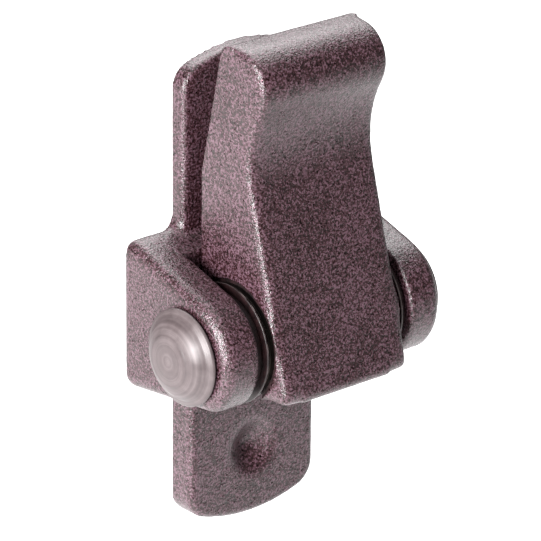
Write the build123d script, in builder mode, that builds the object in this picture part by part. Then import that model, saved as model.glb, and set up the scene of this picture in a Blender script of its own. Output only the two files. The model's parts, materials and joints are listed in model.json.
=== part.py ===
from build123d import *
import math
import os

# Shutter dog holdback: a cast wall plate with two ears, and a cast lever that folds
# out from the plate on a riveted pivot pin, held where it is put by disc springs.
# Millimetres. X runs along the pin, +Y runs into the wall, +Z is up. The origin lies
# on the back face of the plate, at the height of the pin and midway between the ears.

os.makedirs("parts", exist_ok=True)

# ---------------------------------------------------------------- driving dimensions
pin_y = -16.0                # pin axis, in front of the wall
pin_radius = 5.0
ear_hole_radius = 5.05
lever_bore_radius = 5.1      # running fit on the pin
fit_gap = 0.05               # end play at each sliding face along the pin

plate_half_width = 13.9
plate_top = 46.0
plate_bottom = -39.0
plate_end_radius = 33.0      # convex arc of each end
plate_corner_radius = 4.8
plate_upper_thickness = 3.3
plate_lower_thickness = 5.5
plate_edge_radius = 1.2
plate_join_fillet = 2.2      # soft corner where the plate runs into the block

block_half_width = 24.0
block_back_fillet = 2.6      # outline corners behind the wall plane
ear_inner = 16.8             # inner face of each ear, from the middle
ear_radius = 10.7            # round nose of the ear, about the pin
ear_bottom = -10.9           # underside of the ears, at the wall
ear_foot_angle = 55.0        # degrees round the nose to where the underside starts
ear_foot_fillet = 5.0
ear_top_slope = 17.5         # degrees, falling towards the front
ear_outer_fillet = 2.3
ear_inner_fillet = 0.8
lip_thickness = 7.4          # lips above and below the hollow, in front of the wall
hollow_radius = 11.2         # round hollow about the pin, clear of the washers

screw_spacing = 60.0
dimple_z = -26.5
dimple_radius = 5.2
dimple_depth = 3.0
dimple_tip_radius = 0.6
screw_hole_radius = 2.75
screw_head_radius = 4.8
countersink_angle = 90.0

lever_half_width = 13.8
lever_back = 8.3             # back face of the lever, behind the pin
lever_front_angle = 15.2     # degrees, front face leans out towards the heel
lever_front_offset = 11.9    # front face, ahead of the pin at pin height
lever_top = 51.3
lever_top_fillet = 2.5
lever_heel_fillet = 1.5
lever_edge_fillet = 1.5
back_bend_height = 28.0
back_lean = 12.3             # degrees, upper back leans away from the wall
nose_radius = 6.5
nose_y = -1.0                # centre of the nose, ahead of the pin
neck_radius = 18.0
recess_radius = 10.7
recess_depth = 0.65

washer_inner_radius = 5.25
thrust_outer_radius = 9.0
thrust_thickness = 1.7
disc_outer_radius = 10.4
disc_thickness = 0.4
spring_outer_radius = 10.0
spring_inner_radius = 5.15
spring_thickness = 1.1
spring_height = 1.45

# rivet heads, as heights above the ear and radii
head_radius = 8.4
head_height = 3.9
head_seat_radius = 6.5
head_standoff = 0.5          # the rim stands clear of the ear
head_rim_height = 0.9
formed_end_radius = 4.2
formed_cone = (3.7, 4.5)
formed_dome = (2.7, 6.0)
formed_ledge = (1.4, 7.4)
plain_end_radius = 1.0
plain_dome = (3.1, 4.6)

past = 100.0                 # a cut that runs well past the part
near = 0.01                  # how closely a face or an edge is picked by its place

pin_axis = Axis((0, pin_y, 0), (1, 0, 0))
pin_plane = Plane(origin=(0, pin_y, 0), z_dir=(1, 0, 0))
side_plane = Plane.YZ                     # local x is Y, local y is Z
pin_section = Plane.XZ.offset(-pin_y)     # local x is X, local y is Z, holds the pin axis


# ----------------------------------------------------------------------- ear block
# The block behind the lever with its two ears. Its outline is drawn a little behind
# the wall plane, rounded all round, and then cut flush, so the back edge stays crisp.
behind_wall = 1.2
slope = math.radians(ear_top_slope)
tangent_y = pin_y - ear_radius * math.sin(slope)
tangent_z = ear_radius * math.cos(slope)
top_back_z = tangent_z + (behind_wall - tangent_y) * math.tan(slope)
foot_y = pin_y - ear_radius * math.cos(math.radians(ear_foot_angle))
foot_z = -ear_radius * math.sin(math.radians(ear_foot_angle))
wall_bottom_z = ear_bottom - behind_wall * (foot_z - ear_bottom) / -foot_y


def on_ear_outline(edge):
    """True for the outline of an ear in front of the lips, and not for the hollow's."""
    middle = edge @ 0.5
    inside_hollow = math.hypot(middle.Y - pin_y, middle.Z) < hollow_radius - fit_gap
    on_slope = middle.Z > tangent_z - ear_inner_fillet
    return edge.center().Y < -lip_thickness - ear_inner_fillet / 2 and (inside_hollow or on_slope)


with BuildPart() as ear_block:
    with BuildSketch(side_plane) as ear_outline:
        with BuildLine():
            Line((behind_wall, top_back_z), (tangent_y, tangent_z))
            ThreePointArc((tangent_y, tangent_z), (pin_y - ear_radius, 0), (foot_y, foot_z))
            Line((foot_y, foot_z), (behind_wall, wall_bottom_z))
            Line((behind_wall, wall_bottom_z), (behind_wall, top_back_z))
        make_face()
        fillet(ear_outline.vertices().group_by(Axis.X)[-1], block_back_fillet)
        fillet(ear_outline.vertices().sort_by_distance((foot_y, foot_z, 0))[0], ear_foot_fillet)
    extrude(amount=block_half_width, both=True)
    fillet(faces().filter_by(Axis.X).edges(), ear_outer_fillet)
    split(bisect_by=Plane.XZ, keep=Keep.TOP)
    # the gap between the ears, down to the lips
    with BuildSketch(Plane.XZ.offset(lip_thickness)):
        Rectangle(2 * ear_inner, past)
    extrude(amount=past, mode=Mode.SUBTRACT)
    # the round hollow between the lips
    with BuildSketch(side_plane):
        with Locations((pin_y, 0)):
            Circle(hollow_radius)
    extrude(amount=ear_inner, both=True, mode=Mode.SUBTRACT)
    inner_edges = ShapeList()
    for side in (-ear_inner, ear_inner):
        on_side = edges().filter_by_position(Axis.X, side - near, side + near)
        inner_edges += on_side.filter_by(on_ear_outline)
    fillet(inner_edges, ear_inner_fillet)

# ---------------------------------------------------------------------- wall plate
# A flat-backed plate, thin above the block and thicker below it, cast in one with it.
corner_drop = plate_end_radius - math.sqrt(plate_end_radius**2 - plate_half_width**2)
top_corner_z = plate_top - corner_drop
bottom_corner_z = plate_bottom + corner_drop
step_z = 8.0                 # where the two thicknesses meet, inside the block
screw_hole_z = dimple_z + screw_spacing


def in_plate_join(edge):
    """True for the corners where the upper plate runs into the top of the block."""
    place = edge.center()
    across_plate = abs(place.X) < plate_half_width + near
    in_thickness = -plate_upper_thickness - near < place.Y < -near
    on_block_top = tangent_z < place.Z < top_back_z + plate_join_fillet
    return across_plate and in_thickness and on_block_top


with BuildPart() as wall_plate:
    with BuildSketch(Plane.XZ) as plate_outline:
        with BuildLine():
            left = -plate_half_width
            right = plate_half_width
            ThreePointArc((left, top_corner_z), (0, plate_top), (right, top_corner_z))
            Line((right, top_corner_z), (right, bottom_corner_z))
            ThreePointArc((right, bottom_corner_z), (0, plate_bottom), (left, bottom_corner_z))
            Line((left, bottom_corner_z), (left, top_corner_z))
        make_face()
        fillet(plate_outline.vertices(), plate_corner_radius)
    extrude(amount=plate_lower_thickness)
    with BuildSketch(Plane.XZ.offset(plate_upper_thickness)):
        with Locations((0, step_z)):
            Rectangle(past, past, align=(Align.CENTER, Align.MIN))
    extrude(amount=plate_lower_thickness, mode=Mode.SUBTRACT)
    for depth in (plate_upper_thickness, plate_lower_thickness):
        front = faces().filter_by(Axis.Y).filter_by_position(Axis.Y, -depth - near, -depth + near)
        fillet(front.edges().filter_by(lambda e: abs(e.center().Z - step_z) > near), plate_edge_radius)
    add(ear_block.part)
    fillet(edges().filter_by(in_plate_join), plate_join_fillet)
    # lower screw dimple: a blind cone
    with BuildSketch(side_plane):
        with BuildLine():
            Polyline(
                (-plate_lower_thickness - plate_edge_radius, dimple_z),
                (-plate_lower_thickness + dimple_depth, dimple_z),
                (-plate_lower_thickness + dimple_depth, dimple_z + dimple_tip_radius),
                (-plate_lower_thickness, dimple_z + dimple_radius),
                (-plate_lower_thickness - plate_edge_radius, dimple_z + dimple_radius),
                close=True,
            )
        make_face()
    revolve(axis=Axis((0, 0, dimple_z), (0, 1, 0)), mode=Mode.SUBTRACT)
    # upper screw hole, countersunk, behind the folded lever
    with Locations(Plane(origin=(0, -plate_upper_thickness, screw_hole_z), z_dir=(0, -1, 0))):
        CounterSinkHole(
            screw_hole_radius,
            screw_head_radius,
            depth=plate_upper_thickness,
            counter_sink_angle=countersink_angle,
        )
    # pin holes through both ears
    with Locations(pin_plane):
        Hole(ear_hole_radius, depth=2 * block_half_width)
wall_plate.part.label = "wall_plate"
export_step(wall_plate.part, "parts/wall_plate.step")


# --------------------------------------------------------------------------- lever
# Side outline about the pin: heel arc, back, top, nose, neck, leaning front, flat heel.
front_angle = math.radians(lever_front_angle)
nose_z = lever_top - nose_radius
heel_front = -lever_front_offset - lever_back * math.tan(front_angle)
back_top = lever_back - (lever_top - back_bend_height) * math.tan(math.radians(back_lean))
heel_half = lever_back / math.sqrt(2)

# where the front face, run upwards, enters the nose circle
gap_y = -lever_front_offset - nose_y
along = gap_y * math.sin(front_angle) - nose_z * math.cos(front_angle)
across = gap_y * math.cos(front_angle) + nose_z * math.sin(front_angle)
reach = -along - math.sqrt(nose_radius**2 - across**2)
neck_y = pin_y - lever_front_offset + reach * math.sin(front_angle)
neck_z = reach * math.cos(front_angle)

with BuildPart() as lever:
    with BuildSketch(side_plane) as lever_outline:
        with BuildLine():
            ThreePointArc((pin_y, -lever_back), (pin_y + heel_half, -heel_half), (pin_y + lever_back, 0))
            Polyline(
                (pin_y + lever_back, 0),
                (pin_y + lever_back, back_bend_height),
                (pin_y + back_top, lever_top),
                (pin_y + nose_y, lever_top),
            )
            ThreePointArc(
                (pin_y + nose_y, lever_top),
                (pin_y + nose_y - nose_radius, nose_z),
                (neck_y, neck_z),
            )
            Polyline((neck_y, neck_z), (pin_y + heel_front, -lever_back), (pin_y, -lever_back))
        make_face()
        for corner, radius in (
            ((neck_y, neck_z, 0), neck_radius),
            ((pin_y + back_top, lever_top, 0), lever_top_fillet),
            ((pin_y + heel_front, -lever_back, 0), lever_heel_fillet),
        ):
            fillet(lever_outline.vertices().sort_by_distance(corner)[0], radius)
    extrude(amount=lever_half_width, both=True)
    fillet(faces().filter_by(Axis.X).edges(), lever_edge_fillet)
    for direction in (-1, 1):
        recess_floor = direction * (lever_half_width - recess_depth)
        with BuildSketch(Plane(origin=(recess_floor, pin_y, 0), z_dir=(direction, 0, 0))):
            Circle(recess_radius)
        extrude(amount=2 * recess_depth, mode=Mode.SUBTRACT)
    with Locations(pin_plane):
        Hole(lever_bore_radius, depth=2 * lever_half_width)
lever.part.label = "lever"
export_step(lever.part, "parts/lever.step")


# --------------------------------------------------------------------- pivot rivet
# Left head: formed dome with a turned ledge and a flat end. Right head: plain dome.
left_face = -block_half_width
right_face = block_half_width
left_end = left_face - head_height
right_end = right_face + head_height
with BuildPart() as pivot_rivet:
    with BuildSketch(pin_section):
        with BuildLine():
            cone_x, cone_radius = left_face - formed_cone[0], formed_cone[1]
            dome_x, dome_radius = left_face - formed_dome[0], formed_dome[1]
            ledge_x, ledge_radius = left_face - formed_ledge[0], formed_ledge[1]
            Polyline((left_end, 0), (left_end, formed_end_radius), (cone_x, cone_radius))
            ThreePointArc((cone_x, cone_radius), (dome_x, dome_radius), (ledge_x, ledge_radius))
            Polyline(
                (ledge_x, ledge_radius),
                (left_face - head_rim_height, head_radius),
                (left_face - head_standoff, head_radius),
                (left_face - head_standoff, head_seat_radius),
                (left_face, head_seat_radius),
                (left_face, pin_radius),
                (right_face, pin_radius),
                (right_face, head_seat_radius),
                (right_face + head_standoff, head_seat_radius),
                (right_face + head_standoff, head_radius),
                (right_face + head_rim_height, head_radius),
            )
            ThreePointArc(
                (right_face + head_rim_height, head_radius),
                (right_face + plain_dome[0], plain_dome[1]),
                (right_end, plain_end_radius),
            )
            Polyline((right_end, plain_end_radius), (right_end, 0), (left_end, 0))
        make_face()
    revolve(axis=pin_axis)
pivot_rivet.part.label = "pivot_rivet"
export_step(pivot_rivet.part, "parts/pivot_rivet.step")


# ------------------------------------------------------------- washers and springs
# From each ear inwards: thrust washer, thin friction disc, disc spring in the recess.
def ring(start, thickness, outer_radius, direction):
    """Flat ring round the pin, growing from |x| = start towards the middle."""
    with BuildPart() as flat_ring:
        with BuildSketch(Plane(origin=(direction * start, pin_y, 0), z_dir=(-direction, 0, 0))):
            Circle(outer_radius)
            Circle(washer_inner_radius, mode=Mode.SUBTRACT)
        extrude(amount=thickness)
    return flat_ring.part


def disc_spring(start, direction):
    """Dished ring, its small end on the friction disc and its rim in the lever's recess."""
    inner_x = direction * start
    outer_x = direction * (start - spring_height + spring_thickness)
    wall = direction * spring_thickness
    with BuildPart() as dished:
        with BuildSketch(pin_section):
            with BuildLine():
                Polyline(
                    (inner_x, spring_inner_radius),
                    (outer_x, spring_outer_radius),
                    (outer_x - wall, spring_outer_radius),
                    (inner_x - wall, spring_inner_radius),
                    close=True,
                )
            make_face()
        revolve(axis=pin_axis)
    return dished.part


thrust_start = ear_inner - fit_gap
disc_start = thrust_start - thrust_thickness
spring_start = disc_start - disc_thickness - fit_gap

for name, direction in (("left", -1), ("right", 1)):
    thrust_washer = ring(thrust_start, thrust_thickness, thrust_outer_radius, direction)
    thrust_washer.label = f"{name}_thrust_washer"
    export_step(thrust_washer, f"parts/{name}_thrust_washer.step")
    friction_disc = ring(disc_start, disc_thickness, disc_outer_radius, direction)
    friction_disc.label = f"{name}_friction_disc"
    export_step(friction_disc, f"parts/{name}_friction_disc.step")
    spring = disc_spring(spring_start, direction)
    spring.label = f"{name}_disc_spring"
    export_step(spring, f"parts/{name}_disc_spring.step")
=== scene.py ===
import json
import math

import bmesh
import bpy
from mathutils import Matrix, Vector, noise


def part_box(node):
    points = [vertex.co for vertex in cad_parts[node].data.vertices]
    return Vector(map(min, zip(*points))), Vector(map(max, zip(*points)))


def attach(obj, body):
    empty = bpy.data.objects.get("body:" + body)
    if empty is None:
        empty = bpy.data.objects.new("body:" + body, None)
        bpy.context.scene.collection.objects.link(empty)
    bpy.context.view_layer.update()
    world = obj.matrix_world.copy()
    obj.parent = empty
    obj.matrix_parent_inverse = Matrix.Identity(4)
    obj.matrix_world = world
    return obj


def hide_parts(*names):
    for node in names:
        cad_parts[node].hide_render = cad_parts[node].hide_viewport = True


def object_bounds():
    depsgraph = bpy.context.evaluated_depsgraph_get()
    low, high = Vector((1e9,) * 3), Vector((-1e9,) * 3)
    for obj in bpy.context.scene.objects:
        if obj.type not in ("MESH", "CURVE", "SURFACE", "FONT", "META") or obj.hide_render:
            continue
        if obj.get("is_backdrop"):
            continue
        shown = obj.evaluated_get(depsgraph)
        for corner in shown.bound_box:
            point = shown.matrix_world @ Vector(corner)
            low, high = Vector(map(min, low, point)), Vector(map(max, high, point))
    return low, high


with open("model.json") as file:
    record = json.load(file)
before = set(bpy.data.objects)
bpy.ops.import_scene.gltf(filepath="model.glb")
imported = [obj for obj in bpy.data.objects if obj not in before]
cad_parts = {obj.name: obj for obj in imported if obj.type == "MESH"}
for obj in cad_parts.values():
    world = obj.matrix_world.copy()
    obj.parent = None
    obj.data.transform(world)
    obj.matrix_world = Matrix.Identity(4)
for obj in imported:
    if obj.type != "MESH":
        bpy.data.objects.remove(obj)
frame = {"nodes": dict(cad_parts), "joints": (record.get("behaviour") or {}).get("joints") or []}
cad_low, cad_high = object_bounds()
MM = 0.001

# ------------------------------------------------------------------- wall plate
# One zinc casting: a flat-backed plate and the block with both ears, with soft cast
# corners. It is fettled, reamed for the pin, and coated in sand-textured powder.
PIN = Vector(frame["joints"][0]["pos_m"])
EAR_BORE = 5.05 * MM
DIMPLE = Vector((0, -5.5 * MM, -26.5 * MM))
DIMPLE_SOFTENED = 7.6 * MM
JOIN_HEIGHTS = (10.5 * MM, 20 * MM)
JOIN_DEPTHS = (-6.5 * MM, -0.5 * MM)
JOIN_HALF_WIDTH = 17 * MM
BACK_SKIN = -0.1 * MM
DIMPLE_TIP = -1.5 * MM
REAMED_SKIN = 0.25 * MM
WELD = MM / 1000


def srgb(code):
    """The linear colour of a hex code such as '#a09890'."""
    values = [int(code[i : i + 2], 16) / 255 for i in (1, 3, 5)]
    linear = [v / 12.92 if v <= 0.04045 else ((v + 0.055) / 1.055) ** 2.4 for v in values]
    return (*linear, 1)


def add_node(tree, kind, settings=None, values=None, links=None):
    """Adds one shader node with its settings, its sockets' values, and the outputs that feed it."""
    node = tree.nodes.new(kind)
    for name, value in (settings or {}).items():
        setattr(node, name, value)
    for socket, value in (values or {}).items():
        node.inputs[socket].default_value = value
    for socket, output in (links or {}).items():
        tree.links.new(output, node.inputs[socket])
    return node


def set_stops(ramp, stops):
    """Gives a colour ramp its (place, hex colour) stops."""
    elements = ramp.color_ramp.elements
    while len(elements) < len(stops):
        elements.new(0.5)
    for element, (place, code) in zip(elements, stops):
        element.position = place
        element.color = srgb(code)


def new_material(name):
    """An empty material, and the output that its shader goes to."""
    material = bpy.data.materials.new(name)
    material.use_nodes = True
    material.node_tree.nodes.clear()
    return material, material.node_tree.nodes.new("ShaderNodeOutputMaterial")


# Sand-textured powder coat with metallic flake: the melted grit stands up in rounded
# grains about 0.4 mm apart, mauve-grey on their tops and dark maroon in the pits between,
# the pits' darkness partly the coat's own colour and partly painted shade.
# Real flakes are under 0.1 mm, and are drawn coarser so that they show.
def sand_powder_coat():
    material, output = new_material("sand_textured_powder_coat")
    tree = material.node_tree
    place = add_node(tree, "ShaderNodeTexCoord").outputs["Object"]
    grain_spacing = 0.4 * MM
    grit_spacing = 0.2 * MM
    flake_spacing = 0.3 * MM
    cloud_spacing = 9 * MM
    grain = add_node(
        tree,
        "ShaderNodeTexNoise",
        values={"Scale": 1 / grain_spacing, "Detail": 1.5, "Roughness": 0.5},
        links={"Vector": place},
    )
    grit = add_node(
        tree,
        "ShaderNodeTexNoise",
        values={"Scale": 1 / grit_spacing, "Detail": 1.0},
        links={"Vector": place},
    )
    cloud = add_node(
        tree,
        "ShaderNodeTexNoise",
        values={"Scale": 1 / cloud_spacing, "Detail": 2.0},
        links={"Vector": place},
    )
    height = add_node(
        tree,
        "ShaderNodeMix",
        values={"Factor": 0.28},
        links={"A": grain.outputs["Fac"], "B": grit.outputs["Fac"]},
    )
    tone = add_node(
        tree,
        "ShaderNodeMath",
        {"operation": "MULTIPLY_ADD"},
        {1: 0.12},
        {0: cloud.outputs["Fac"], 2: height.outputs["Result"]},
    )
    # The colour follows the grains' height: darkest in the pits, partly painted shade between the grains.
    colour = add_node(tree, "ShaderNodeValToRGB", links={"Fac": tone.outputs["Value"]})
    set_stops(colour, ((0.46, "#150507"), (0.56, "#30181b"), (0.66, "#58404a")))
    flakes = add_node(
        tree,
        "ShaderNodeTexVoronoi",
        values={"Scale": 1 / flake_spacing},
        links={"Vector": place},
    )
    flake_pick = add_node(tree, "ShaderNodeSeparateColor", links={"Color": flakes.outputs["Color"]})
    flake = add_node(
        tree,
        "ShaderNodeMapRange",
        values={"From Min": 0.86, "From Max": 0.97},
        links={"Value": flake_pick.outputs["Red"]},
    )
    gloss = add_node(
        tree,
        "ShaderNodeMapRange",
        values={"To Min": 0.32, "To Max": 0.22},
        links={"Value": flake.outputs["Result"]},
    )
    shine = add_node(
        tree,
        "ShaderNodeMapRange",
        values={"To Min": 0.0, "To Max": 0.7},
        links={"Value": flake.outputs["Result"]},
    )
    bump = add_node(
        tree,
        "ShaderNodeBump",
        values={"Strength": 1.0, "Distance": 0.16 * MM},
        links={"Height": height.outputs["Result"]},
    )
    shader = add_node(
        tree,
        "ShaderNodeBsdfPrincipled",
        values={"IOR": 1.5, "Specular IOR Level": 0.6},
        links={
            "Base Color": colour.outputs["Color"],
            "Metallic": shine.outputs["Result"],
            "Roughness": gloss.outputs["Result"],
            "Normal": bump.outputs["Normal"],
        },
    )
    tree.links.new(shader.outputs["BSDF"], output.inputs["Surface"])
    return material


def remade(name, mesh, face_size):
    """A new piece from a closed mesh, with its skin remade in even faces of that size."""
    rough = bpy.data.objects.new(name + "_rough", mesh)
    bpy.context.scene.collection.objects.link(rough)
    remesh = rough.modifiers.new("even_faces", "REMESH")
    remesh.mode = "VOXEL"
    remesh.voxel_size = face_size
    depsgraph = bpy.context.evaluated_depsgraph_get()
    even = bpy.data.meshes.new_from_object(rough.evaluated_get(depsgraph))
    bpy.data.objects.remove(rough)
    even.name = name
    piece = bpy.data.objects.new(name, even)
    bpy.context.scene.collection.objects.link(piece)
    return piece


def soften(bm, verts, passes):
    """Rounds that part of the skin, a little more with each pass."""
    for _ in range(passes):
        bmesh.ops.smooth_vert(
            bm, verts=verts, factor=0.5, use_axis_x=True, use_axis_y=True, use_axis_z=True
        )


def raise_grain(bm, depth, spacing):
    """Sinks the skin between the coat's grains by up to depth, so no grain stands proud of the CAD."""
    bm.normal_update()
    for v in bm.verts:
        hollow = 0.5 - 0.5 * noise.noise(v.co / spacing)
        v.co -= v.normal * depth * hollow


def from_pin(place):
    """How far a place is from the pin's axis."""
    return math.hypot(place.y - PIN.y, place.z - PIN.z)


def ream(bm, radius):
    """Trues the pin hole, which is cut after casting and has no grain."""
    for v in bm.verts:
        distance = from_pin(v.co)
        if distance < radius + REAMED_SKIN:
            across = Vector((0, v.co.y - PIN.y, v.co.z - PIN.z)) * (radius / distance)
            v.co = Vector((v.co.x, PIN.y + across.y, PIN.z + across.z))


def keep_inside(bm, low, high):
    """Holds every point within the CAD node's box."""
    for v in bm.verts:
        v.co = Vector(max(a, min(b, c)) for a, b, c in zip(low, high, v.co))


def finish_casting(piece, bm, node, body):
    """Writes the shaped skin back, coats it, and stands the piece in its CAD node's place."""
    keep_inside(bm, *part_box(node))
    bm.to_mesh(piece.data)
    bm.free()
    piece.data.shade_smooth()
    piece.data.materials.clear()
    piece.data.materials.append(powder_coat)
    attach(piece, body)
    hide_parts(node)


powder_coat = sand_powder_coat()
GRAIN_DEPTH = 0.07 * MM
GRAIN_SPACING = 1.3 * MM
PLATE_FACE = 0.34 * MM
CAST_PASSES = 2
DIMPLE_PASSES = 26
JOIN_PASSES = 8

plate_skin = frame["nodes"]["wall_plate"].data.copy()
bm = bmesh.new()
bm.from_mesh(plate_skin)
bmesh.ops.remove_doubles(bm, verts=bm.verts, dist=WELD)
bm.to_mesh(plate_skin)
bm.free()
plate = remade("plate_casting", plate_skin, PLATE_FACE)
bm = bmesh.new()
bm.from_mesh(plate.data)
back = [v for v in bm.verts if v.co.y > BACK_SKIN]
dimple = [
    v
    for v in bm.verts
    if v.co.y < DIMPLE_TIP and math.hypot(v.co.x, v.co.z - DIMPLE.z) < DIMPLE_SOFTENED
]
join = [
    v
    for v in bm.verts
    if JOIN_DEPTHS[0] < v.co.y < JOIN_DEPTHS[1]
    and JOIN_HEIGHTS[0] < v.co.z < JOIN_HEIGHTS[1]
    and abs(v.co.x) < JOIN_HALF_WIDTH
]
soften(bm, bm.verts, CAST_PASSES)
soften(bm, dimple, DIMPLE_PASSES)
soften(bm, join, JOIN_PASSES)
raise_grain(bm, GRAIN_DEPTH, GRAIN_SPACING)
ream(bm, EAR_BORE)
for v in back:
    v.co.y = 0
finish_casting(plate, bm, "wall_plate", "bracket")

# ------------------------------------------------------------------------ lever
# The second casting, in the same coat: a wedge with a rolled nose. Its front edges are
# well rounded for the hand, and its back edges, along the mould's parting, stay crisp.
lever_low, lever_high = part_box("lever")
LEVER_BORE = 5.1 * MM
RECESS_RADIUS = 10.7 * MM
RECESS_DEPTH = 0.65 * MM
LEVER_FACE = 0.3 * MM


def round_cutter(name, radius, ends):
    """A cylinder about the pin's axis, from ends[0] to ends[1] along X."""
    bm = bmesh.new()
    bmesh.ops.create_cone(
        bm, cap_ends=True, segments=128, radius1=radius, radius2=radius, depth=ends[1] - ends[0]
    )
    bmesh.ops.rotate(bm, verts=bm.verts, matrix=Matrix.Rotation(math.pi / 2, 3, "Y"))
    bmesh.ops.translate(bm, verts=bm.verts, vec=(sum(ends) / 2, PIN.y, PIN.z))
    mesh = bpy.data.meshes.new(name)
    bm.to_mesh(mesh)
    bm.free()
    cutter = bpy.data.objects.new(name, mesh)
    bpy.context.scene.collection.objects.link(cutter)
    return cutter


bm = bmesh.new()
bm.from_mesh(frame["nodes"]["lever"].data)
bmesh.ops.remove_doubles(bm, verts=bm.verts, dist=WELD)
bmesh.ops.bisect_plane(
    bm,
    geom=[*bm.verts, *bm.edges, *bm.faces],
    plane_co=(0, 0, 0),
    plane_no=(1, 0, 0),
    clear_inner=True,
    clear_outer=True,
)
bore_ring = [v for v in bm.verts if from_pin(v.co) < LEVER_BORE + MM]
bmesh.ops.delete(bm, geom=bore_ring, context="VERTS")
bmesh.ops.translate(bm, verts=bm.verts, vec=(lever_low.x, 0, 0))
side = bmesh.ops.contextual_create(bm, geom=bm.edges[:])["faces"]
grown = bmesh.ops.extrude_face_region(bm, geom=side)["geom"]
far_side = [g for g in grown if isinstance(g, bmesh.types.BMVert)]
bmesh.ops.translate(bm, verts=far_side, vec=(lever_high.x - lever_low.x, 0, 0))
bmesh.ops.recalc_face_normals(bm, faces=bm.faces)
block = bpy.data.meshes.new("lever_block")
bm.to_mesh(block)
bm.free()

blank = bpy.data.objects.new("lever_blank", block)
bpy.context.scene.collection.objects.link(blank)
cutters = [
    round_cutter("bore", LEVER_BORE, (2 * lever_low.x, 2 * lever_high.x)),
    round_cutter("left_recess", RECESS_RADIUS, (2 * lever_low.x, lever_low.x + RECESS_DEPTH)),
    round_cutter("right_recess", RECESS_RADIUS, (lever_high.x - RECESS_DEPTH, 2 * lever_high.x)),
]
for cutter in cutters:
    cut = blank.modifiers.new(cutter.name, "BOOLEAN")
    cut.operation = "DIFFERENCE"
    cut.object = cutter
depsgraph = bpy.context.evaluated_depsgraph_get()
lever_skin = bpy.data.meshes.new_from_object(blank.evaluated_get(depsgraph))
for rough in (blank, *cutters):
    bpy.data.objects.remove(rough)

lever = remade("lever_casting", lever_skin, LEVER_FACE)
bm = bmesh.new()
bm.from_mesh(lever.data)
EDGE_BAND = 4.4 * MM
BACK_BAND = 2.2 * MM
BEND_HEIGHT = 28 * MM
BACK_LEAN = math.radians(12.3)
RIM_DEPTH = 0.5 * MM
RIM_WIDTH = 0.4 * MM
FRONT_PASSES = 90


def behind(place):
    """How far a place stands in front of the lever's back, which leans away above the bend."""
    back_y = lever_high.y - max(0.0, place.z - BEND_HEIGHT) * math.tan(BACK_LEAN)
    return back_y - place.y


front_edges = [
    v
    for v in bm.verts
    if abs(v.co.x) > lever_high.x - EDGE_BAND
    and behind(v.co) > BACK_BAND
    and not (abs(v.co.x) > lever_high.x - RIM_DEPTH and from_pin(v.co) < RECESS_RADIUS + RIM_WIDTH)
]
soften(bm, bm.verts, CAST_PASSES)
soften(bm, front_edges, FRONT_PASSES)
raise_grain(bm, GRAIN_DEPTH, GRAIN_SPACING)
ream(bm, LEVER_BORE)
finish_casting(lever, bm, "lever", "swing_lever")


def painted_recess_shade():
    """Near-black painted shade for the hollows of the lever's side recesses and bore."""
    material, output = new_material("painted_shade_in_recesses_and_bore")
    tree = material.node_tree
    place = add_node(tree, "ShaderNodeTexCoord").outputs["Object"]
    shade_mottle_spacing = 1.5 * MM
    shade_mottle = add_node(
        tree,
        "ShaderNodeTexNoise",
        values={"Scale": 1 / shade_mottle_spacing, "Detail": 3.0},
        links={"Vector": place},
    )
    colour = add_node(tree, "ShaderNodeValToRGB", links={"Fac": shade_mottle.outputs["Fac"]})
    set_stops(colour, ((0.35, "#120809"), (0.7, "#2b1719")))
    shader = add_node(
        tree,
        "ShaderNodeBsdfPrincipled",
        values={"Roughness": 0.55},
        links={"Base Color": colour.outputs["Color"]},
    )
    tree.links.new(shader.outputs["BSDF"], output.inputs["Surface"])
    return material


recess_shade = painted_recess_shade()
lever.data.materials.append(recess_shade)
SHADE_INSET_FROM = 0.12 * MM
SHADE_INSET_TO = RECESS_DEPTH + 0.3 * MM
RECESS_EDGE = RECESS_RADIUS + 0.1 * MM
WALL_FROM = RECESS_RADIUS - 0.4 * MM
BORE_SKIN = LEVER_BORE + 0.3 * MM
FACING_SIDE = 0.7
# The recess floors and walls, and the bore, take the near-black painted shade.
for face in lever.data.polygons:
    inset = lever_high.x - abs(face.center.x)
    reach = from_pin(face.center)
    in_recess = SHADE_INSET_FROM < inset < SHADE_INSET_TO and reach < RECESS_EDGE
    on_floor = abs(face.normal.x) > FACING_SIDE
    on_wall = reach > WALL_FROM
    if (in_recess and (on_floor or on_wall)) or reach < BORE_SKIN:
        face.material_index = 1

# ------------------------------------------------------------------ pivot rivet
# One turned steel pin. Its left end is formed over in a lathe, which leaves a ledge, a
# dome with fine rings and a flat; the right end is the plain forged head.
HEAD_RADIUS = 8.4 * MM
HEAD_SEAT = 6.5 * MM
SHANK = 5.0 * MM
EAR_FACE = 24 * MM
TURNS = 160


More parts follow.
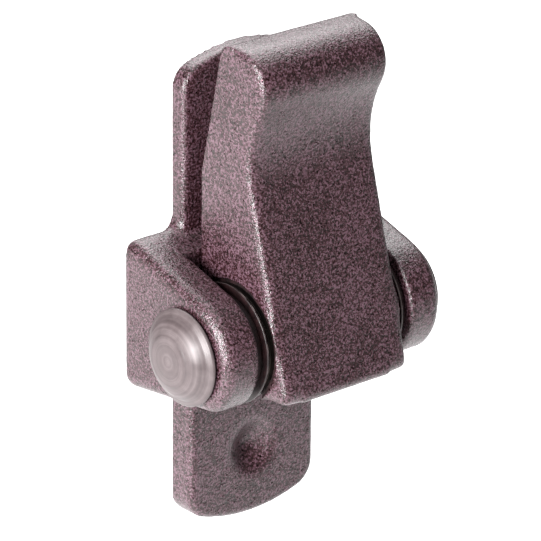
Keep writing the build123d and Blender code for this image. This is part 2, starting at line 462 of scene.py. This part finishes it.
# The tool's rings are drawn coarser than real ones, so that they show.
def satin_coat():
    material, output = new_material("satin_coated_turned_steel")
    tree = material.node_tree
    place = add_node(tree, "ShaderNodeTexCoord").outputs["Object"]
    centred = add_node(
        tree,
        "ShaderNodeMapping",
        values={"Location": (0, -PIN.y, -PIN.z), "Scale": (0, 1, 1)},
        links={"Vector": place},
    )
    radius = add_node(
        tree, "ShaderNodeVectorMath", {"operation": "LENGTH"}, links={0: centred.outputs["Vector"]}
    )
    ring_spacing = 0.8 * MM
    rings = add_node(
        tree,
        "ShaderNodeTexNoise",
        {"noise_dimensions": "1D"},
        {"Scale": 1 / ring_spacing, "Detail": 3.0},
        {"W": radius.outputs["Value"]},
    )
    smudge_spacing = 2.6 * MM
    smudges = add_node(
        tree,
        "ShaderNodeTexNoise",
        values={"Scale": 1 / smudge_spacing, "Detail": 4.0, "Roughness": 0.6},
        links={"Vector": place},
    )
    tone = add_node(
        tree,
        "ShaderNodeMix",
        values={"Factor": 0.45},
        links={"A": rings.outputs["Fac"], "B": smudges.outputs["Fac"]},
    )
    colour = add_node(tree, "ShaderNodeValToRGB", links={"Fac": tone.outputs["Result"]})
    set_stops(colour, ((0.35, "#3f3637"), (0.5, "#4d4344"), (0.65, "#5c5253")))
    gloss = add_node(
        tree,
        "ShaderNodeMapRange",
        values={"From Min": 0.3, "From Max": 0.7, "To Min": 0.34, "To Max": 0.5},
        links={"Value": smudges.outputs["Fac"]},
    )
    bump = add_node(
        tree,
        "ShaderNodeBump",
        values={"Strength": 1.0, "Distance": 0.02 * MM},
        links={"Height": tone.outputs["Result"]},
    )
    shader = add_node(
        tree,
        "ShaderNodeBsdfPrincipled",
        values={"IOR": 1.5, "Metallic": 0.1},
        links={
            "Base Color": colour.outputs["Color"],
            "Roughness": gloss.outputs["Result"],
            "Normal": bump.outputs["Normal"],
        },
    )
    tree.links.new(shader.outputs["BSDF"], output.inputs["Surface"])
    return material


def spun(name, outline, closed, soft_edges=0.0, angle=35):
    """A turned piece: an outline of (x, radius) points spun about the pin's axis."""
    bm = bmesh.new()
    verts = [bm.verts.new((x, PIN.y, PIN.z + r)) for x, r in outline]
    pairs = list(zip(verts, verts[1:]))
    if closed:
        pairs.append((verts[-1], verts[0]))
    edges = [bm.edges.new(pair) for pair in pairs]
    bmesh.ops.spin(
        bm,
        geom=[*verts, *edges],
        cent=PIN,
        axis=(1, 0, 0),
        angle=math.tau,
        steps=TURNS,
        use_merge=True,
    )
    bmesh.ops.remove_doubles(bm, verts=bm.verts, dist=WELD)
    bmesh.ops.recalc_face_normals(bm, faces=bm.faces)
    if soft_edges:
        sharp = [e for e in bm.edges if len(e.link_faces) == 2 and e.calc_face_angle() > math.radians(angle)]
        bmesh.ops.bevel(
            bm,
            geom=sharp,
            affect="EDGES",
            offset=soft_edges,
            segments=3,
            profile=0.5,
            material=-1,
            clamp_overlap=True,
        )
    mesh = bpy.data.meshes.new(name)
    bm.to_mesh(mesh)
    bm.free()
    mesh.shade_smooth()
    piece = bpy.data.objects.new(name, mesh)
    bpy.context.scene.collection.objects.link(piece)
    return piece


def swell(start, end, bulge, steps):
    """Points of a low curve from start to end, swelling outwards by bulge at its middle."""
    along = Vector(end) - Vector(start)
    out = Vector((along.y, -along.x)).normalized() * bulge
    points = []
    for i in range(steps + 1):
        t = i / steps
        points.append(tuple(Vector(start) + along * t + out * math.sin(math.pi * t)))
    return points


flat_radius = 4.2 * MM
formed_height = 3.85 * MM
shoulder_height = 3.65 * MM
shoulder_radius = 4.5 * MM
ledge_height = 1.4 * MM
ledge_radius = 7.4 * MM
rim_height = 0.9 * MM
standoff = 0.5 * MM
rim_round = 0.25 * MM
formed_bulge = 0.3 * MM
plain_bulge = 0.95 * MM
head_edge = 0.12 * MM
CURVE_STEPS = 14
PLAIN_STEPS = 16
HEAD_SHARP = 50
punch_radius = 0.8 * MM
punch_depth = 0.12 * MM
outer = -EAR_FACE
formed_head = [
    (outer - formed_height + punch_depth, 0),
    (outer - formed_height, punch_radius),
    (outer - formed_height, flat_radius),
    *swell(
        (outer - shoulder_height, shoulder_radius),
        (outer - ledge_height, ledge_radius),
        -formed_bulge,
        CURVE_STEPS,
    ),
    (outer - rim_height - rim_round, HEAD_RADIUS - rim_round),
    (outer - rim_height, HEAD_RADIUS),
    (outer - standoff, HEAD_RADIUS),
    (outer - standoff, HEAD_SEAT),
    (outer, HEAD_SEAT),
    (outer, SHANK),
]
plain_head = [
    (EAR_FACE, SHANK),
    (EAR_FACE, HEAD_SEAT),
    (EAR_FACE + standoff, HEAD_SEAT),
    (EAR_FACE + standoff, HEAD_RADIUS),
    *swell(
        (EAR_FACE + rim_height, HEAD_RADIUS),
        (EAR_FACE + formed_height, 0),
        -plain_bulge,
        PLAIN_STEPS,
    ),
]
rivet = spun("rivet_pin", formed_head + plain_head, closed=False, soft_edges=head_edge, angle=HEAD_SHARP)
rivet.data.materials.append(satin_coat())
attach(rivet, "bracket")
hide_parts("pivot_rivet")


# ------------------------------------------------- thrust washers and friction discs
# Stamped steel rings under a smooth dark coat, made near-black partly as painted shade of the
# gap between ear and lever. The friction disc's crest has a painted rim highlight in light bare-steel
# colour.
def washer_coat_shade_and_highlight(name, highlight_from):
    """Smooth dark red-brown coat, darkened partly as painted shade, with a painted rim highlight of light
    bare steel outside the given radius.
    """
    material, output = new_material(name)
    tree = material.node_tree
    place = add_node(tree, "ShaderNodeTexCoord").outputs["Object"]
    centred = add_node(
        tree,
        "ShaderNodeMapping",
        values={"Location": (0, -PIN.y, -PIN.z), "Scale": (0, 1, 1)},
        links={"Vector": place},
    )
    radius = add_node(
        tree, "ShaderNodeVectorMath", {"operation": "LENGTH"}, links={0: centred.outputs["Vector"]}
    )
    scuff_spacing = 1.2 * MM
    scuffs = add_node(
        tree,
        "ShaderNodeTexNoise",
        values={"Scale": 1 / scuff_spacing, "Detail": 3.0},
        links={"Vector": place},
    )
    wander = add_node(
        tree,
        "ShaderNodeMath",
        {"operation": "MULTIPLY_ADD"},
        {1: 0.05 * MM},
        {0: scuffs.outputs["Fac"], 2: radius.outputs["Value"]},
    )
    # Painted rim highlight: light bare-steel colour and metal outside the given radius.
    rim_highlight = add_node(
        tree,
        "ShaderNodeMapRange",
        values={"From Min": highlight_from, "From Max": highlight_from + 0.05 * MM},
        links={"Value": wander.outputs["Value"]},
    )
    # Near-black coat tones: the washers' dark red coat, darkened partly as painted shade of the gap between
    # ear and lever.
    coat = add_node(tree, "ShaderNodeValToRGB", links={"Fac": scuffs.outputs["Fac"]})
    set_stops(coat, ((0.35, "#0e0304"), (0.7, "#1e0a0c")))
    colour = add_node(
        tree,
        "ShaderNodeMix",
        {"data_type": "RGBA"},
        links={"Factor": rim_highlight.outputs["Result"], "A": coat.outputs["Color"]},
    )
    # The painted rim highlight's light steel colour.
    colour.inputs["B"].default_value = srgb("#a89c99")
    gloss = add_node(
        tree,
        "ShaderNodeMapRange",
        values={"To Min": 0.36, "To Max": 0.5},
        links={"Value": scuffs.outputs["Fac"]},
    )
    shader = add_node(
        tree,
        "ShaderNodeBsdfPrincipled",
        links={
            "Base Color": colour.outputs["Result"],
            "Metallic": rim_highlight.outputs["Result"],
            "Roughness": gloss.outputs["Result"],
        },
    )
    tree.links.new(shader.outputs["BSDF"], output.inputs["Surface"])
    return material


# The friction disc's crest takes the painted rim highlight; the thrust washers get none.
DISC_HIGHLIGHT_FROM = 10.42 * MM
NO_RIM_HIGHLIGHT = 20 * MM
WASHER_HOLE = 5.25 * MM
WASHER_EDGE = 0.14 * MM
disc_coat_shade_and_highlight = washer_coat_shade_and_highlight("dark_coat_shade_and_rim_highlight_on_thin_steel", DISC_HIGHLIGHT_FROM)
thrust_coat_and_shade = washer_coat_shade_and_highlight("dark_coat_and_painted_shade_on_steel", NO_RIM_HIGHLIGHT)
for name, coat in (("thrust_washer", thrust_coat_and_shade), ("friction_disc", disc_coat_shade_and_highlight)):
    for hand in ("left", "right"):
        low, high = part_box(f"{hand}_{name}")
        rim = high.z - PIN.z
        ring = [(low.x, WASHER_HOLE), (low.x, rim), (high.x, rim), (high.x, WASHER_HOLE)]
        piece = spun(f"{hand}_{name}_ring", ring, closed=True, soft_edges=WASHER_EDGE)
        piece.data.materials.append(coat)
        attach(piece, "bracket")
        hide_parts(f"{hand}_{name}")


# ----------------------------------------------------------------- disc springs
# Dished spring steel rings, one in each recess of the lever. They are blued in
# hardening and are left uncoated, so they are dark with a straw tint and a mottled temper.
def blued_steel():
    material, output = new_material("blued_spring_steel")
    tree = material.node_tree
    place = add_node(tree, "ShaderNodeTexCoord").outputs["Object"]
    temper_spacing = 5 * MM
    temper = add_node(
        tree,
        "ShaderNodeTexNoise",
        values={"Scale": 1 / temper_spacing, "Detail": 3.0},
        links={"Vector": place},
    )
    colour = add_node(tree, "ShaderNodeValToRGB", links={"Fac": temper.outputs["Fac"]})
    set_stops(colour, ((0.35, "#1f1c1b"), (0.65, "#332f2b")))
    gloss = add_node(
        tree,
        "ShaderNodeMapRange",
        values={"To Min": 0.28, "To Max": 0.5},
        links={"Value": temper.outputs["Fac"]},
    )
    shader = add_node(
        tree,
        "ShaderNodeBsdfPrincipled",
        values={"Metallic": 1.0},
        links={"Base Color": colour.outputs["Color"], "Roughness": gloss.outputs["Result"]},
    )
    tree.links.new(shader.outputs["BSDF"], output.inputs["Surface"])
    return material


spring_steel = blued_steel()
SPRING_THICKNESS = 1.1 * MM
SPRING_HOLE = 5.15 * MM
SPRING_EDGE = 0.15 * MM
for hand, outward in (("left", -1), ("right", 1)):
    low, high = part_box(f"{hand}_disc_spring")
    face = low.x if outward < 0 else high.x
    seat = high.x if outward < 0 else low.x
    rim = high.z - PIN.z
    dished = [
        (face, SPRING_HOLE),
        (seat + outward * SPRING_THICKNESS, rim),
        (seat, rim),
        (face - outward * SPRING_THICKNESS, SPRING_HOLE),
    ]
    piece = spun(f"{hand}_spring_disc", dished, closed=True, soft_edges=SPRING_EDGE)
    piece.data.materials.append(spring_steel)
    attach(piece, "swing_lever")
    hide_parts(f"{hand}_disc_spring")

# --------------------------------------------------------- floor, lights, camera
# A plain white floor in a dim white room, with soft lights on the left, behind on the
# left, above and over the floor behind, and a long lens, so that edges and grain show.
FLOOR_HALF = 3.0
FLOOR_DROP = 160 * MM
floor_z = cad_low.z - FLOOR_DROP
bm = bmesh.new()
bmesh.ops.create_grid(bm, x_segments=1, y_segments=1, size=FLOOR_HALF)
bmesh.ops.translate(bm, verts=bm.verts, vec=(0, 0, floor_z))
floor_mesh = bpy.data.meshes.new("floor")
bm.to_mesh(floor_mesh)
bm.free()
floor = bpy.data.objects.new("floor", floor_mesh)
bpy.context.scene.collection.objects.link(floor)
paint, output = new_material("matt_white_paint")
shader = add_node(
    paint.node_tree,
    "ShaderNodeBsdfPrincipled",
    values={"Base Color": srgb("#f6f6f6"), "Roughness": 0.9},
)
paint.node_tree.links.new(shader.outputs["BSDF"], output.inputs["Surface"])
floor.data.materials.append(paint)
floor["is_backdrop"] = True


def softbox(name, direction, distance, size, power, aim=PIN):
    """A square area light that looks at its aim, the pin by default, from that direction."""
    light = bpy.data.lights.new(name, "AREA")
    light.size = size
    light.energy = power
    holder = bpy.data.objects.new(name, light)
    towards = Vector(direction).normalized()
    holder.location = aim + towards * distance
    holder.rotation_mode = "QUATERNION"
    holder.rotation_quaternion = towards.to_track_quat("Z", "Y")
    bpy.context.scene.collection.objects.link(holder)
    return holder


softbox("key_softbox", (-0.89, -0.3, 0.28), 0.6, 0.3, 12.0)
softbox("side_softbox", (-0.75, 0.65, -0.05), 0.6, 0.45, 1.4)
softbox("top_softbox", (0.0, -0.12, 1.0), 0.8, 0.6, 3.4)
floor_behind = Vector((0.33, 0.38, floor_z))
softbox("floor_softbox", (0, 0, 1), 0.6, 0.7, 9.0, floor_behind)

world = bpy.data.worlds.new("white_room")
world.use_nodes = True
world.node_tree.nodes["Background"].inputs["Color"].default_value = (1, 1, 1, 1)
world.node_tree.nodes["Background"].inputs["Strength"].default_value = 0.2
bpy.context.scene.world = world
bpy.context.scene.view_settings.view_transform = "Standard"

azimuth, elevation, roll = (math.radians(v) for v in (-40.95, 21.75, 0.51))
LENS = 295.5
SENSOR = 36
camera_distance = 745.6 * MM
across, up = -4.25 * MM, 8.44 * MM
back = Vector(
    (
        math.sin(azimuth) * math.cos(elevation),
        -math.cos(azimuth) * math.cos(elevation),
        math.sin(elevation),
    )
)
right = Vector((math.cos(azimuth), math.sin(azimuth), 0))
above = back.cross(right)
camera = bpy.data.cameras.new("camera")
camera.lens = LENS
camera.sensor_width = SENSOR
holder = bpy.data.objects.new("camera", camera)
bpy.context.scene.collection.objects.link(holder)
rolled_right = right * math.cos(roll) + above * math.sin(roll)
rolled_above = above * math.cos(roll) - right * math.sin(roll)
turn = Matrix((rolled_right, rolled_above, back)).transposed().to_4x4()
spot = PIN + right * across + above * up + back * camera_distance
holder.matrix_world = Matrix.Translation(spot) @ turn
bpy.context.scene.camera = holder

low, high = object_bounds()
